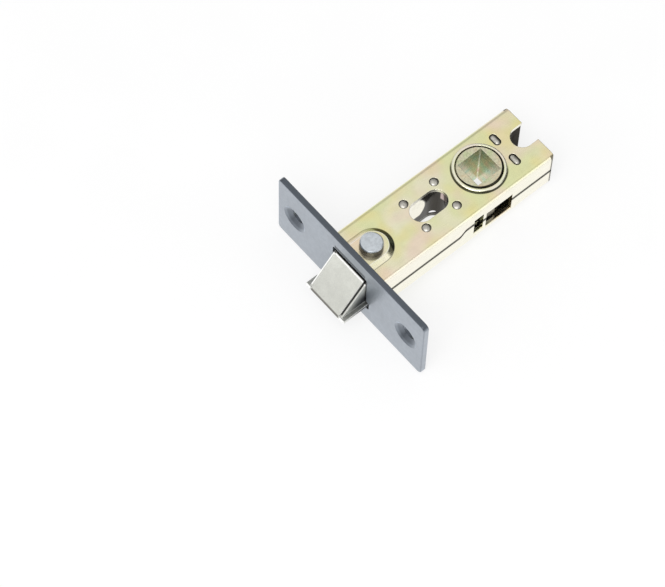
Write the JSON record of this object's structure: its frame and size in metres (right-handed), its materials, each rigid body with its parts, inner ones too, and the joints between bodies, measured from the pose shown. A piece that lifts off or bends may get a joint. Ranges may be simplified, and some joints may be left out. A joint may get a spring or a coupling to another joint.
{
  "type": "tubular door latch",
  "caption": "Tubular door latch: bevelled sprung bolt in a slim pressed steel case, square spindle follower and a two-screw forend.",
  "frame": {"origin": "centre of the forend's front face, midway between its two screw holes, on the axis of the bolt", "axes": "+X runs into the door along the case, -X is the way the bolt points; +Y runs along the forend; +Z is the spindle's axis and the side that the bolt's bevel faces"},
  "size_m": [0.0701, 0.057, 0.0244],
  "materials": {
    "forend_black": "satin black plated steel",
    "case_zinc_yellow": "yellow passivated zinc on pressed steel, faintly iridescent",
    "rivet_zinc": "bright zinc plated steel",
    "spacer_zinc": "plain zinc alloy casting",
    "follower_zinc_yellow": "yellow passivated zinc on sintered steel",
    "slide_steel": "plain pressed steel, lightly oiled",
    "bolt_nickel": "satin nickel plate over a cast bolt",
    "tail_steel": "turned steel",
    "spring_steel": "drawn spring wire"
  },
  "bodies": {
    "case": {"forend": "forend_black", "case_shell_upper": "case_zinc_yellow", "case_shell_lower": "case_zinc_yellow", "case_rivet_upper": "rivet_zinc", "case_rivet_lower": "rivet_zinc", "front_spacer": "spacer_zinc", "rear_spacer": "spacer_zinc", "spring_guide": "tail_steel", "bolt_spring": "spring_steel"},
    "bolt": {"latch_bolt": "bolt_nickel", "bolt_tail": "tail_steel", "bolt_tail_pin": "tail_steel"},
    "slide": {"draw_slide": "slide_steel"},
    "follower": {"follower": "follower_zinc_yellow"}
  },
  "joints": [
    {"name": "follower_turn", "type": "hinge", "parent": "case", "child": "follower", "pos_m": [0.044, 0, 0], "axis": [0, 0, 1], "range_deg": [0, 62]},
    {"name": "bolt_travel", "type": "slide", "parent": "case", "child": "bolt", "axis": [1, 0, 0], "range_m": [0, 0.0082], "stiffness_N_per_m": 350, "springref_m": -0.012, "deforming": ["bolt_spring"]},
    {"name": "slide_travel", "type": "slide", "parent": "case", "child": "slide", "axis": [1, 0, 0], "range_m": [0, 0.0082]}
  ],
  "couplings": [
    {"joint": "follower_turn", "follows": "bolt_travel", "rad_per_m": 131.9},
    {"joint": "slide_travel", "follows": "bolt_travel", "ratio": 1}
  ]
}
